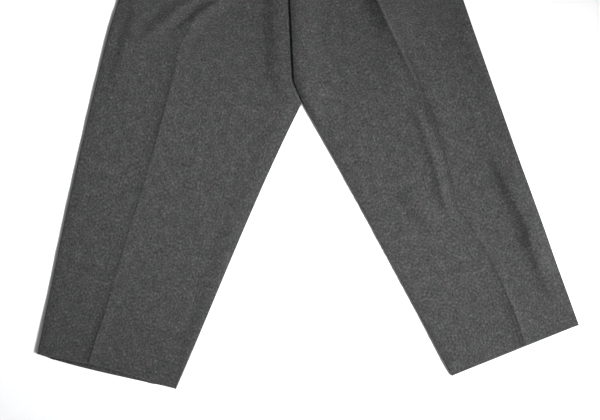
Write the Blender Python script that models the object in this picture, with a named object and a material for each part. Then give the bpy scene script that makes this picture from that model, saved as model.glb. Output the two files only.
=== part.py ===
"""Pleated dress trousers, laid flat with the front up and the legs apart.

Metres, +Z up. +X runs to the wearer's left and +Y towards the waist. The origin is the middle of the
garment's outline, on the surface that it lies on. Sizes below are in millimetres.

Two back panels lie on the surface and two front panels lie on them, joined at side seams and inseams.
Each front holds one pleat that faces the fly. The pleat is a real fold: the cloth turns back over
itself and forward again, and lower down it opens out into the pressed crease.
"""

from collections import namedtuple

import bpy
import numpy as np

MM = 0.001

# Cloth
WALL = 1.2  # brushed wool flannel
SEAM_GAP = 0.3  # between two pieces where they are sewn
HEM_LAYER = 0.8  # what a turned-up hem adds to the wall

# Lines that both halves share
CENTRE_X = -3.0  # centre front and centre back, as the garment lies
CROTCH = (9.6, 56.6)
CROTCH_HOOK = 20.0  # height over which the rise seam bends towards the crotch
WAIST_Y = 352.0  # seam between panels and waistband
BAND_TOP_Y = 391.7

# Each leg is given at six stations from hem to waist: where its side seam runs, and how far the crease
# lies from the inner edge, as a share of the width there.
STATION = ("hem", "knee", "crotch", "hip", "high_hip", "waist")
At = namedtuple("At", "side_x side_y crease_share")
LEGS = {
    "right": {
        "stations": {
            "hem": At(-434.2, -323.0, 0.625),
            "knee": At(-371.9, -84.0, 0.617),
            "crotch": At(-304.0, 153.0, 0.636),
            "hip": At(-281.0, 221.0, 0.531),
            "high_hip": At(-255.0, 286.0, 0.447),
            "waist": At(-210.0, 352.0, 0.454),
        },
        "outward": -1.0,
        "hem_inner": (-214.9, -390.3),
        "inseam_hollow": 4.0,
        "front_hem_arch": 6.0,
        "back_hem_belly": 3.0,
        "pleat_shut_above": 215.0,
        "pleat_open_below": 180.0,
    },
    "left": {
        "stations": {
            "hem": At(434.2, -320.6, 0.575),
            "knee": At(361.0, -80.0, 0.54),
            "crotch": At(292.7, 150.0, 0.60),
            "hip": At(272.5, 219.0, 0.547),
            "high_hip": At(249.0, 286.0, 0.478),
            "waist": At(207.0, 352.0, 0.476),
        },
        "outward": 1.0,
        "hem_inner": (227.2, -391.7),
        "inseam_hollow": 2.0,
        "front_hem_arch": 2.5,
        "back_hem_belly": 0.0,
        "pleat_shut_above": 150.0,
        "pleat_open_below": 112.0,
    },
}

# How the fronts lie on the backs
EDGE_REACH = 12.0  # distance over which a front rises from its seams
LOFT = 1.3  # air between front and back, clear of the seams
HEM_FADE_ROWS = 0.29  # stations above the hem over which its extra layers flatten out
CREASE_HEIGHT = 0.9
CREASE_REACH = 7.0

# Pleats
PLEAT_DEPTH = 24.0  # cloth turned under at the waist
PLEAT_BEND = 0.9  # radius of the cloth's middle at each fold
PLEAT_CLEAR = 4.0  # how far the top layer stays level past its under layers
PLEAT_REST = 50.0  # and over what distance it then comes down
PLEAT_PRESSED = 0.15  # how much lower the fold lies where it stands half open
OPEN_FOLD = 0.8  # what is left of the under layer where the pleat opens

# Fly: the right front laps over the left one, with the zip below
FLY_END_Y = 97.0
FLY_START_FADE = 18.0  # height over which the plain seam turns into the lap
CROTCH_CLEAR = 8.0  # height above the crotch where the fronts start to lift
LAP = 3.0  # each front's reach past the centre line
FLAP_WIDTH = 35.0
FLAP_FALL = 27.0
FLAP_LIFT = 3.1
UNDERLAP_LIFT = 1.0
UNDERLAP_WIDTH = 10.0
SLIDER_LIFT = 0.4
SLIDER_ROOM_Y = (285.0, 305.0)  # where the flap rises over the slider

# The largest soft folds. A trough's height is negative.
Fold = namedtuple("Fold", "leg half_width height line")
FOLDS = {
    "fly_trough": Fold("right", 8, -0.9, ((-36, 260), (-36, 224), (-35, 160), (-34, 112), (-40, 84))),
    "upper_pull": Fold("right", 8, -1.0, ((-134, 232), (-151, 211), (-187, 187))),
    "upper_pull_crest": Fold("right", 8, 0.8, ((-130, 245), (-156, 222), (-195, 192))),
    "lower_pull": Fold("right", 9, -1.1, ((-160, 250), (-177, 226), (-227, 186), (-250, 165))),
    "side_trough": Fold("right", 9, -0.7, ((-258, 235), (-270, 200), (-292, 112))),
    "inseam_trough": Fold("right", 7, -0.6, ((-35, 38), (-70, -31), (-133, -164), (-197, -329))),
    "pleat_hollow": Fold("left", 13, -1.1, ((112, 250), (127, 216), (163, 142), (178, 110))),
    "thigh_hollow": Fold("left", 16, -0.6, ((130, 119), (146, 100), (165, 70))),
    "crease_crest": Fold("left", 6, 0.7, ((198, 44), (215, 0), (226, -38), (237, -134))),
    "crease_hollow": Fold("left", 8, -0.9, ((206, -30), (213, -80), (222, -130))),
    "knee_wrinkle": Fold("left", 7, -0.5, ((170, -116), (200, -142), (230, -168))),
    "shin_trough": Fold("left", 10, -1.2, ((300, -35), (320, -83), (341, -140), (350, -180), (354, -210))),
    "side_tail": Fold("left", 9, -0.6, ((356, -212), (368, -237), (393, -282))),
}

# Waistband, a strip folded double, and its button
BAND_WALL = 2.4
BAND_SIDE_TOP = {"right": -206.0, "left": 203.0}  # where its folded side lies at the top edge
BAND_LAYERS = (1.2, 4.0)  # heights of the strip's middle, behind and in front
BAND_END = {"right": 20.0, "left": -36.0}  # the button end laps over the underlap
BAND_OVER = 6.75  # height of the button end's middle
BAND_CLIMB = (-75.0, -42.0)  # where the button end climbs over the underlap
BAND_FRONT_X = (130.0, 95.0, 82.0, 75.0, 68.0, 58.5, 49.0, 42.0)  # places along each front half
BAND_TURN_STEPS = 6
BUTTON_AT = (8.0, 372.0)
BUTTON_RADIUS = 8.5
BUTTON_THICK = 2.6
BUTTON_HOLE = 1.0  # radius
BUTTON_HOLES_OFF = 1.9  # from the button's middle, along X and along Y
BUTTON_EDGE = 0.7  # bevel round the rim
BUTTON_SIDES = 32
HOLE_SIDES = 10

# Zip, shut
TAPE_X = (-27.0, 1.0)
TAPE_Y = (102.0, 350.0)
TAPE_Z = (1.5, 2.2)
CHAIN_X = (-15.5, -10.5)
CHAIN_TOP_Z = 3.0
CHAIN_START = 3.0  # above the tape's lower end
CHAIN_END_Y = 318.0
SLIDER_BODY = ((-17.5, 320.0, 2.5), (-8.5, 332.0, 4.4))
SLIDER_TAB = ((-15.5, 297.0, 3.3), (-10.5, 321.0, 4.1))

# Mesh rows along a leg, in stations, and columns across a front
HEM_TOP_ROW = 0.165  # the turned-up hems are 40 mm deep
ROWS = np.array(
    [0.0, 0.05, HEM_TOP_ROW, 0.18, 0.32, 0.48, 0.66, 0.84, 1.0, 1.16, 1.32, 1.48, 1.66, 1.84, 2.0, 2.1, 2.2,
     2.3, 2.4, 2.5, 2.65, 2.8, 3.0, 3.2, 3.45, 3.7, 3.95, 4.2, 4.45, 4.7, 4.85, 5.0]
)
INNER_SHARES = np.array([0.0, 0.03, 0.09, 0.18, 0.28, 0.38, 0.5, 0.62, 0.74, 0.87])
OUTER_SHARES = np.array([0.08, 0.18, 0.3, 0.43, 0.56, 0.7, 0.83, 0.94, 1.0])
BACK_SHARES = np.linspace(0.0, 1.0, 6)
HEM_SHAPE_ROWS = 0.3  # stations above the hem over which its edge's arch or belly fades
BEND_STEPS = 3


def smooth_step(value, low, high):
    """0 below low, 1 above high, and an even S between."""
    share = np.clip((value - low) / (high - low), 0.0, 1.0)
    return share * share * (3.0 - 2.0 * share)


def through_stations(values, rows):
    """A Catmull-Rom curve through one value for each station."""
    values = np.asarray(values, float)
    padded = np.concatenate([[2 * values[0] - values[1]], values, [2 * values[-1] - values[-2]]])
    index = np.minimum(rows.astype(int), len(values) - 2)
    t = rows - index
    a, b, c, d = (padded[index + k] for k in range(4))
    return 0.5 * (2 * b + (c - a) * t + (2 * a - 5 * b + 4 * c - d) * t**2 + (3 * b - a - 3 * c + d) * t**3)


def station_curve(leg, column, rows):
    values = [getattr(leg["stations"][name], column) for name in STATION]
    return through_stations(values, rows)


def rise_x(y):
    """The rise seam: straight down the centre, bending exponentially to the crotch."""
    return CENTRE_X + (CROTCH[0] - CENTRE_X) * np.exp(-(y - CROTCH[1]) / CROTCH_HOOK)


def inner_edge(leg, rows):
    """The inseam from hem to crotch, hollowed most at two thirds of its length, then the rise seam."""
    hem, crotch = np.array(leg["hem_inner"]), np.array(CROTCH)
    crotch_row = STATION.index("crotch")
    t = np.clip(rows / crotch_row, 0.0, 1.0)[:, None]
    run = crotch - hem
    towards_leg = leg["outward"] * np.array([run[1], -run[0]]) / np.hypot(*run)
    hollow = leg["inseam_hollow"] * t**2 * (1 - t) / (4 / 27)
    inseam = hem + run * t + towards_leg * hollow
    up = (rows - crotch_row) / (len(STATION) - 1 - crotch_row)
    y = CROTCH[1] + up * (WAIST_Y - CROTCH[1])
    rise = np.stack([rise_x(np.maximum(y, CROTCH[1])), y], axis=1)
    return np.where((rows < crotch_row)[:, None], inseam, rise)


def outer_edge(leg, rows):
    return np.stack([station_curve(leg, "side_x", rows), station_curve(leg, "side_y", rows)], axis=1)


def off_line(points, line):
    """Each point's distance from a line of points, and how far along the line it lies, from 0 to 1."""
    line = np.asarray(line, float)
    runs = np.diff(line, axis=0)
    lengths = np.hypot(*runs.T)
    starts = np.concatenate([[0.0], np.cumsum(lengths)])
    offset = points[..., None, :] - line[:-1]
    share = np.clip((offset * runs).sum(-1) / lengths**2, 0.0, 1.0)
    distance = np.linalg.norm(offset - share[..., None] * runs, axis=-1)
    nearest = distance.argmin(-1)[..., None]
    along = np.take_along_axis(starts[:-1] + share * lengths, nearest, -1)[..., 0]
    return np.take_along_axis(distance, nearest, -1)[..., 0], along / starts[-1]


def soft_folds(side, points):
    """The sum of this leg's troughs and crests: bell-shaped across, fading out towards both ends."""
    height = np.zeros(points.shape[:-1])
    for fold in FOLDS.values():
        if fold.leg == side:
            distance, along = off_line(points, fold.line)
            fade = np.sqrt(np.sin(np.pi * np.clip(along, 0.02, 0.98)))
            height += fold.height * fade * np.exp(-((distance / fold.half_width) ** 2))
    return height


def pleat_section(turn, overlap):
    """The cloth's middle line across a pleat: a bend by the angle turn, a straight run of overlap and a
    bend back, for each row. Gives the place across from the visible fold, the height and the tilt.
    Each bend keeps its length of cloth, so it opens into a flat strip as turn goes to 0, and where it
    is half open it is pressed lower."""
    share = np.linspace(0.0, 1.0, BEND_STEPS + 1)
    tilt = np.concatenate([turn[:, None] * share, turn[:, None] * share[::-1]], axis=1)
    lengths = np.full((len(turn), tilt.shape[1] - 1), np.pi * PLEAT_BEND / BEND_STEPS)
    lengths[:, BEND_STEPS] = overlap
    middle = (tilt[:, 1:] + tilt[:, :-1]) / 2
    start = np.zeros((len(turn), 1))
    across = np.concatenate([start, np.cumsum(lengths * np.cos(middle), axis=1)], axis=1)
    height = np.concatenate([start, np.cumsum(lengths * np.sin(middle), axis=1)], axis=1)
    pressed = 1 - PLEAT_PRESSED * np.sin(turn)[:, None]
    fold = across[:, BEND_STEPS + 1 :].min(axis=1, keepdims=True)
    return across - fold, height * pressed, np.arctan2(pressed * np.sin(tilt), np.cos(tilt))


def hem_rows(rows, fade_rows):
    """1 in the turned-up hem, fading to 0 above it."""
    return 1.0 - smooth_step(rows, HEM_TOP_ROW, HEM_TOP_ROW + fade_rows)


def fly_share(y):
    """0 on the plain crotch seam and 1 where the fronts lap over each other."""
    return smooth_step(y, FLY_END_Y, FLY_END_Y + FLY_START_FADE)


def lie_of_front(side, rows, points, from_inner, from_outer):
    """Height of a front's under side: just clear of the back at its seams, soft between them, with the
    folds, the hem's layers and the fly's lap added."""
    on_rise = (rows > STATION.index("crotch"))[:, None]
    loft = LOFT * (1 - np.exp(-np.maximum(np.minimum(from_inner, from_outer), 0.0) / EDGE_REACH))
    folds = soft_folds(side, points)
    if side == "right":
        over_slider = SLIDER_LIFT * smooth_step(points[..., 1], *SLIDER_ROOM_Y)
        flap = FLAP_LIFT - loft + over_slider
        flap *= 1 - smooth_step(from_inner, FLAP_WIDTH, FLAP_WIDTH + FLAP_FALL)
    else:
        flap = UNDERLAP_LIFT * (1 - smooth_step(from_inner, UNDERLAP_WIDTH, FLAP_FALL))
    lifted = smooth_step(points[..., 1], CROTCH[1] + CROTCH_CLEAR, FLY_END_Y) * on_rise
    hem = 2 * HEM_LAYER * hem_rows(rows, HEM_FADE_ROWS)[:, None]
    resting = WALL + SEAM_GAP
    return np.maximum(resting + loft + folds, resting) + hem + flap * lifted


def closed_shell(low, high):
    """Vertices and faces of a wall between two grids of the same size, with a rim round its edge."""
    rows, columns = low.shape[:2]
    index = np.arange(rows * columns).reshape(rows, columns)
    quads = np.stack([index[:-1, :-1], index[:-1, 1:], index[1:, 1:], index[1:, :-1]], axis=-1).reshape(-1, 4)
    rim = np.concatenate([index[0, :-1], index[:-1, -1], index[-1, :0:-1], index[:0:-1, 0]])
    after = np.roll(rim, -1)
    top = index.size
    sides = np.stack([rim, after, after + top, rim + top], axis=-1)
    faces = np.concatenate([quads + top, quads[:, ::-1], sides])
    points = np.concatenate([low.reshape(-1, 3), high.reshape(-1, 3)])
    first, second, third = points[faces[:, 0]], points[faces[:, 1]], points[faces[:, 2]]
    fourth = points[faces[:, 3]]
    volume = (np.cross(first, second) * third).sum() + (np.cross(first, third) * fourth).sum()
    return points, faces if volume > 0 else faces[:, ::-1]


def add_object(name, points, faces, material):
    mesh = bpy.data.meshes.new(name)
    mesh.from_pydata((points * MM).tolist(), [], [tuple(face) for face in faces])
    mesh.materials.append(material)
    obj = bpy.data.objects.new(name, mesh)
    bpy.context.scene.collection.objects.link(obj)
    return obj


def front_panel(side, material):
    """A front as a wall whose middle runs from the inner edge to the under fold of the pleat, round the
    pleat, and on to the side seam."""
    leg, rows = LEGS[side], ROWS
    inner, outer = inner_edge(leg, rows), outer_edge(leg, rows)
    lap = fly_share(inner[:, 1]) * (rows > STATION.index("crotch"))
    inner[:, 0] += leg["outward"] * (SEAM_GAP / 2 - lap * (LAP + SEAM_GAP / 2))
    across = outer - inner
    width = np.hypot(*across.T)
    along = across / width[:, None]
    crease = width * station_curve(leg, "crease_share", rows)

    crease_y = inner[:, 1] + along[:, 1] * crease
    turn = np.pi * smooth_step(crease_y, leg["pleat_open_below"], leg["pleat_shut_above"])
    shut = np.clip((crease_y - leg["pleat_shut_above"]) / (WAIST_Y - leg["pleat_shut_above"]), 0.0, 1.0)
    overlap = OPEN_FOLD + (PLEAT_DEPTH - OPEN_FOLD) * shut
    fold_across, fold_height, fold_tilt = pleat_section(turn, overlap)

    inner_zone = INNER_SHARES * (crease + fold_across[:, 0])[:, None]
    outer_start = (crease + fold_across[:, -1])[:, None]
    outer_zone = outer_start + OUTER_SHARES * (width[:, None] - outer_start)
    distance = np.concatenate([inner_zone, crease[:, None] + fold_across, outer_zone], axis=1)

    past_fold = outer_zone - crease[:, None]
    under = (overlap + PLEAT_CLEAR)[:, None]
    resting = fold_height[:, -1:] * (1 - smooth_step(past_fold, under, under + PLEAT_REST))
    lift = np.concatenate([np.zeros_like(inner_zone), fold_height, resting], axis=1)
    tilt = np.concatenate([np.zeros_like(inner_zone), fold_tilt, np.zeros_like(outer_zone)], axis=1)

    plan = inner[:, None] + along[:, None] * distance[..., None]
    arch = np.sin(np.pi * np.clip(distance / width[:, None], 0.0, 1.0)) * leg["front_hem_arch"]
    plan[..., 1] += arch * hem_rows(rows, HEM_SHAPE_ROWS)[:, None]

    height = lie_of_front(side, rows, plan, distance, width[:, None] - distance)
    opened = 1 - turn / np.pi
    pressed = np.exp(-np.abs(distance - crease[:, None]) / CREASE_REACH)
    height = height + CREASE_HEIGHT * opened[:, None] * pressed
    middle = np.concatenate([plan, (height + WALL / 2 + lift)[..., None]], axis=-1)
    normal = np.stack(
        [-np.sin(tilt) * along[:, None, 0], -np.sin(tilt) * along[:, None, 1], np.cos(tilt)], axis=-1
    )
    low, high = middle - normal * WALL / 2, middle + normal * WALL / 2
    low[rows <= HEM_TOP_ROW, :, 2] -= HEM_LAYER
    return add_object(f"front_{side}", *closed_shell(low, high), material)


def back_panel(side, material):
    """A back, flat on the surface, with its hem turned up on the inside."""
    leg = LEGS[side]
    inner, outer = inner_edge(leg, ROWS), outer_edge(leg, ROWS)
    inner[:, 0] += leg["outward"] * SEAM_GAP / 2
    plan = inner[:, None] + (outer - inner)[:, None] * BACK_SHARES[None, :, None]
    belly = BACK_SHARES**2 * (1 - BACK_SHARES) / (4 / 27) * leg["back_hem_belly"]
    plan[..., 1] -= belly * hem_rows(ROWS, HEM_SHAPE_ROWS)[:, None]
    low = np.concatenate([plan, np.zeros(plan.shape[:-1] + (1,))], axis=-1)
    high = low.copy()
    high[..., 2] = WALL + HEM_LAYER * (ROWS <= HEM_TOP_ROW)[:, None]
    return add_object(f"back_{side}", *closed_shell(low, high), material)


def waistband(side, material):
    """Half of the waistband: from the centre back round the side to the centre front."""
    outward = LEGS[side]["outward"]
    behind, before = BAND_LAYERS
    radius = (before - behind) / 2
    turn = np.linspace(-np.pi / 2, np.pi / 2, BAND_TURN_STEPS + 1)
    front_x = np.append(np.array(BAND_FRONT_X) * outward, BAND_END[side])
    climb = smooth_step(front_x, *BAND_CLIMB) * (side == "right")

    edges = []
    side_seam_x = LEGS[side]["stations"]["waist"].side_x
    for edge_y, side_x in ((WAIST_Y + SEAM_GAP, side_seam_x), (BAND_TOP_Y, BAND_SIDE_TOP[side])):
        centre_x = side_x - outward * (radius + BAND_WALL / 2)
        x = np.concatenate(
            [[CENTRE_X + outward * SEAM_GAP / 2], centre_x + outward * radius * np.cos(turn), front_x]
        )
        z = np.concatenate(
            [[behind], behind + radius + radius * np.sin(turn), before + (BAND_OVER - before) * climb]
        )
        edges.append(np.stack([x, np.full_like(x, edge_y), z], axis=-1))
    middle = np.stack(edges)
    tangent = np.gradient(middle[0], axis=0)
    tangent /= np.linalg.norm(tangent, axis=1, keepdims=True)
    normal = np.stack([-tangent[:, 2], np.zeros(len(tangent)), tangent[:, 0]], axis=-1)
    normal[0] = (0.0, 0.0, outward)
    normal[-1] = (0.0, 0.0, -outward)
    low, high = middle - normal * BAND_WALL / 2, middle + normal * BAND_WALL / 2
    return add_object(f"waistband_{side}", *closed_shell(low, high), material)


def prism(outline, low_y, high_y):
    """A solid with this outline in X and Z, from low_y to high_y."""
    count = len(outline)
    points = np.array([(x, y, z) for y in (low_y, high_y) for x, z in outline])
    faces = [tuple(range(count)), tuple(range(2 * count - 1, count - 1, -1))]
    faces += [(i, i + count, (i + 1) % count + count, (i + 1) % count) for i in range(count)]
    return points, faces


def box(low, high):
    outline = [(low[0], low[2]), (high[0], low[2]), (high[0], high[2]), (low[0], high[2])]
    return prism(outline, low[1], high[1])


def join(obj, helper, operation="UNION"):
    """Adds a helper's shape to an object, or cuts it out."""
    helper.hide_render = True
    helper.display_type = "WIRE"
    modifier = obj.modifiers.new(helper.name, "BOOLEAN")
    modifier.operation = operation
    modifier.object = helper


def zip_fastener(material):
    """The zip: a woven tape with the closed chain standing on it."""
    tape = box((TAPE_X[0], TAPE_Y[0], TAPE_Z[0]), (TAPE_X[1], TAPE_Y[1], TAPE_Z[1]))
    chain_foot_z = sum(TAPE_Z) / 2
    chain = box(
        (CHAIN_X[0], TAPE_Y[0] + CHAIN_START, chain_foot_z), (CHAIN_X[1], CHAIN_END_Y, CHAIN_TOP_Z)
    )
    made = add_object("zip", *tape, material)
    join(made, add_object("chain", *chain, material))
    return made


def zip_slider(material):
    """The slider at the top of the closed chain, with its pull tab lying down the chain."""
    slider = add_object("zip_slider", *box(*SLIDER_BODY), material)
    join(slider, add_object("pull_tab", *box(*SLIDER_TAB), material))
    return slider


def disc(centre, radii, heights, sides):
    """A turned solid with this radius at each height."""
    angle = np.linspace(0.0, 2 * np.pi, sides, endpoint=False)
    rings = [
        np.stack([centre[0] + r * np.cos(angle), centre[1] + r * np.sin(angle), np.full(sides, h)], axis=-1)
        for r, h in zip(radii, heights)
    ]
    faces = [tuple(range(sides))[::-1], tuple(range(sides * (len(radii) - 1), sides * len(radii)))]
    for ring in range(len(radii) - 1):
        start = ring * sides
        for i in range(sides):
            j = (i + 1) % sides
            faces.append((start + i, start + j, start + sides + j, start + sides + i))
    return np.concatenate(rings), faces


def button(material):
    """The waistband's button, sewn on through four holes."""
    low = BAND_OVER + BAND_WALL / 2 + SEAM_GAP
    high = low + BUTTON_THICK
    radii = (BUTTON_RADIUS - BUTTON_EDGE, BUTTON_RADIUS, BUTTON_RADIUS, BUTTON_RADIUS - BUTTON_EDGE)
    shape = disc(BUTTON_AT, radii, (low, low + BUTTON_EDGE, high - BUTTON_EDGE, high), BUTTON_SIDES)
    made = add_object("button", *shape, material)
    for index, (across, up) in enumerate(((-1, -1), (1, -1), (1, 1), (-1, 1))):
        hole_at = (BUTTON_AT[0] + across * BUTTON_HOLES_OFF, BUTTON_AT[1] + up * BUTTON_HOLES_OFF)
        through = (low - BUTTON_THICK, high + BUTTON_THICK)
        cutter = disc(hole_at, (BUTTON_HOLE, BUTTON_HOLE), through, HOLE_SIDES)
        join(made, add_object(f"button_hole_{index + 1}", *cutter, material), "DIFFERENCE")
    return made


def principled(name, colour, roughness, metallic=0.0):
    material = bpy.data.materials.new(name)
    material.use_nodes = True
    shader = material.node_tree.nodes["Principled BSDF"]
    shader.inputs["Base Color"].default_value = (*colour, 1.0)
    shader.inputs["Roughness"].default_value = roughness
    shader.inputs["Metallic"].default_value = metallic
    return material


def main():
    for obj in list(bpy.data.objects):
        bpy.data.objects.remove(obj)
    charcoal = (0.085, 0.085, 0.087)
    for side in LEGS:
        back_panel(side, principled(f"wool_flannel_back_{side}", charcoal, 0.95))
        front_panel(side, principled(f"wool_flannel_front_{side}", charcoal, 0.95))
        waistband(side, principled(f"wool_flannel_band_{side}", charcoal, 0.95))
    zip_fastener(principled("zip_tape", (0.05, 0.05, 0.052), 0.8))
    zip_slider(principled("nickel_silver", (0.55, 0.54, 0.52), 0.3, 1.0))
    button(principled("horn_button", (0.04, 0.036, 0.034), 0.35))


main()
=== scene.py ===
"""Pleated dress trousers of grey wool flannel, laid flat with the front up and the legs apart.

Metres in the frame, +Z up, +X to the wearer's left and +Y towards the waist. Shapes are worked out in
millimetres and written in metres. "Right" and "left" are the wearer's, so the right leg is at -X.
"""

from collections import namedtuple

import bpy
import numpy as np
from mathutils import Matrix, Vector


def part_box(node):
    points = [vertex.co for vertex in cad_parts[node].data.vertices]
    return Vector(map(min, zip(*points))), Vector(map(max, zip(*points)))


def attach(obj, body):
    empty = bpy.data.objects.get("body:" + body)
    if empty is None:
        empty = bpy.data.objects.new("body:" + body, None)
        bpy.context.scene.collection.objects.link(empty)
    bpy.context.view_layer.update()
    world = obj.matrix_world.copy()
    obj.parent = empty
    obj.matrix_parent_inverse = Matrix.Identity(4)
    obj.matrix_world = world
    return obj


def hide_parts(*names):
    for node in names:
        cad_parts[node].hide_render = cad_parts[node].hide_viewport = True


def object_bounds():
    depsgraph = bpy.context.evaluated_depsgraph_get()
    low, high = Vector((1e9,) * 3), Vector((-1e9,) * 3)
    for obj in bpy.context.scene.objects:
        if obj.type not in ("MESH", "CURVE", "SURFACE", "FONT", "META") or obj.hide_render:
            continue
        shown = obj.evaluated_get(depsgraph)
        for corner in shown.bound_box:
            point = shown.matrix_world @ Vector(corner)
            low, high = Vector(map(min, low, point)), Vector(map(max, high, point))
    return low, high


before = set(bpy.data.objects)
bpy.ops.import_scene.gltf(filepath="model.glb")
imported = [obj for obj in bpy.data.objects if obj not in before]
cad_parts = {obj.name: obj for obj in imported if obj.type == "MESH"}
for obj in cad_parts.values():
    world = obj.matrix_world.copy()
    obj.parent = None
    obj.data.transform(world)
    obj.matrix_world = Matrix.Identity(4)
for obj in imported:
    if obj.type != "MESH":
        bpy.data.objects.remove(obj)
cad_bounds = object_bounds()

MM = 0.001

# Camera: it looks straight down on the legs, turned a little, with the hems near the lower edge and the
# garment's top out of view. A long lens a good way off keeps the legs' edges almost free of perspective.
LENS = 100.0
SENSOR = 36.0
VIEW_WIDTH = 960.0
VIEW_TURN = -2.9  # degrees
VIEW_CENTRE_X = -2.3
VIEW_CENTRE_ABOVE_HEM = 277.5
VIEW_LEVEL = 3.0  # height over the floor at which the view is as wide as it says

lowest, highest = (Vector(corner) for corner in cad_bounds)
view_centre = Vector(
    ((lowest.x + highest.x) / 2 + VIEW_CENTRE_X * MM, lowest.y + VIEW_CENTRE_ABOVE_HEM * MM, 0.0)
)
camera = bpy.data.objects.new("camera", bpy.data.cameras.new("camera"))
bpy.context.scene.collection.objects.link(camera)
camera.data.lens = LENS
camera.data.sensor_width = SENSOR
camera.data.clip_end = 50.0
camera.location = view_centre + Vector((0.0, 0.0, VIEW_WIDTH * MM * LENS / SENSOR + VIEW_LEVEL * MM))
camera.rotation_euler = (0.0, 0.0, np.radians(VIEW_TURN))
bpy.context.scene.camera = camera

# Backs: two panels of wool flannel, cut to the outline of each leg and flat on the surface. The side
# seam, inseam and rise seam join them to the fronts and to each other, and the hems are turned up inside.
WALL = 1.2
SEAM_GAP = 0.3
HEM_DEPTH = 40.0
HEM_LAYER = 0.8  # what a turned-up hem adds to the wall
HEM_FADE = 4.0
CENTRE_X = -4.2  # centre front and centre back, as the garment lies
CROTCH = (9.6, 56.6)
CROTCH_RUN = 34.0  # height over which the rise seam runs across to the crotch
CROTCH_BEND = 1.15
WAIST_Y = 352.0
STATION = ("hem", "knee", "crotch", "hip", "high_hip", "waist")
At = namedtuple("At", "side_x side_y crease_share")
LEGS = {
    "right": {
        "stations": {
            "hem": At(-434.2, -323.0, 0.625),
            "knee": At(-371.9, -84.0, 0.617),
            "crotch": At(-304.0, 153.0, 0.636),
            "hip": At(-281.0, 221.0, 0.557),
            "high_hip": At(-255.0, 286.0, 0.447),
            "waist": At(-210.0, 352.0, 0.454),
        },
        "outward": -1.0,
        "hem_inner": (-214.9, -390.3),
        "inseam_hollow": 4.0,
        "crease_bow": (0.0, -0.015),
        "back_hem_belly": 3.0,
        "hem_arch": 6.0,
        "hem_lip": 4.2,
    },
    "left": {
        "stations": {
            "hem": At(434.2, -320.6, 0.575),
            "knee": At(361.0, -80.0, 0.54),
            "crotch": At(292.7, 150.0, 0.60),
            "hip": At(272.5, 219.0, 0.547),
            "high_hip": At(249.0, 286.0, 0.478),
            "waist": At(207.0, 352.0, 0.476),
        },
        "outward": 1.0,
        "hem_inner": (227.2, -391.7),
        "inseam_hollow": 2.0,
        "crease_bow": (0.05, 0.045),
        "back_hem_belly": 0.0,
        "hem_arch": 2.5,
        "hem_lip": 0.0,
    },
}
BACK_ROWS = 130
BACK_COLUMNS = 44
LIP_ROWS = 15
LIP_REACH = 14.0
LIP_FOOT = (2.5, 3.8)  # from the front's hem to the foot and to the top of the lip
RIM_STEPS = 4


def smooth_step(value, low, high):
    """0 below low, 1 above high, and an even S between: 3 t^2 - 2 t^3."""
    share = np.clip((value - low) / (high - low), 0.0, 1.0)
    return share * share * (3.0 - 2.0 * share)


def station_curve(leg, column, rows):
    """A Catmull-Rom curve through one column of the leg's stations: each stretch is the cubic that passes
    through its two ends with slopes of half the difference of their neighbours."""
    values = np.array([getattr(leg["stations"][name], column) for name in STATION])
    padded = np.concatenate([[2 * values[0] - values[1]], values, [2 * values[-1] - values[-2]]])
    index = np.minimum(rows.astype(int), len(values) - 2)
    t = rows - index
    a, b, c, d = (padded[index + k] for k in range(4))
    return 0.5 * (2 * b + (c - a) * t + (2 * a - 5 * b + 4 * c - d) * t**2 + (3 * b - a - 3 * c + d) * t**3)


def rise_x(y):
    """The rise seam: straight down the centre, then across to the crotch as share^bend of its last run."""
    share = np.clip(1 - (y - CROTCH[1]) / CROTCH_RUN, 0.0, 1.0)
    return CENTRE_X + (CROTCH[0] - CENTRE_X) * share**CROTCH_BEND


def inner_edge(leg, rows):
    """The inseam from hem to crotch, hollowed by t^2 (1 - t), then the rise seam up to the waist."""
    hem, crotch = np.array(leg["hem_inner"]), np.array(CROTCH)
    crotch_row = STATION.index("crotch")
    t = np.clip(rows / crotch_row, 0.0, 1.0)[:, None]
    run = crotch - hem
    towards_leg = leg["outward"] * np.array([run[1], -run[0]]) / np.hypot(*run)
    inseam = hem + run * t + towards_leg * leg["inseam_hollow"] * t**2 * (1 - t) / (4 / 27)
    up = (rows - crotch_row) / (len(STATION) - 1 - crotch_row)
    y = CROTCH[1] + up * (WAIST_Y - CROTCH[1])
    rise = np.stack([rise_x(np.maximum(y, CROTCH[1])), y], axis=1)
    return np.where((rows < crotch_row)[:, None], inseam, rise)


def outer_edge(leg, rows):
    return np.stack([station_curve(leg, "side_x", rows), station_curve(leg, "side_y", rows)], axis=1)


def crease_share(leg, rows):
    """The crease's share of the way across, bowed by 4 t (1 - t) from hem to knee and knee to crotch."""
    share = station_curve(leg, "crease_share", rows)
    for start, bow in enumerate(leg["crease_bow"]):
        t = np.clip(rows - start, 0.0, 1.0)
        share += bow * 4 * t * (1 - t)
    return share


def even_rows(leg, count, top=None):
    """Places from hem to waist or to top above the hem, in stations, evenly spaced up the side seam."""
    heights = [at.side_y for at in leg["stations"].values()]
    end = heights[-1] if top is None else heights[0] + top
    return np.interp(np.linspace(heights[0], end, count), heights, np.arange(len(heights)))


def hem_share(above_hem, fade):
    """1 in the turned-up hem, fading to 0 above it."""
    return 1.0 - smooth_step(above_hem, HEM_DEPTH - 1.0, HEM_DEPTH - 1.0 + fade)


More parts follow.
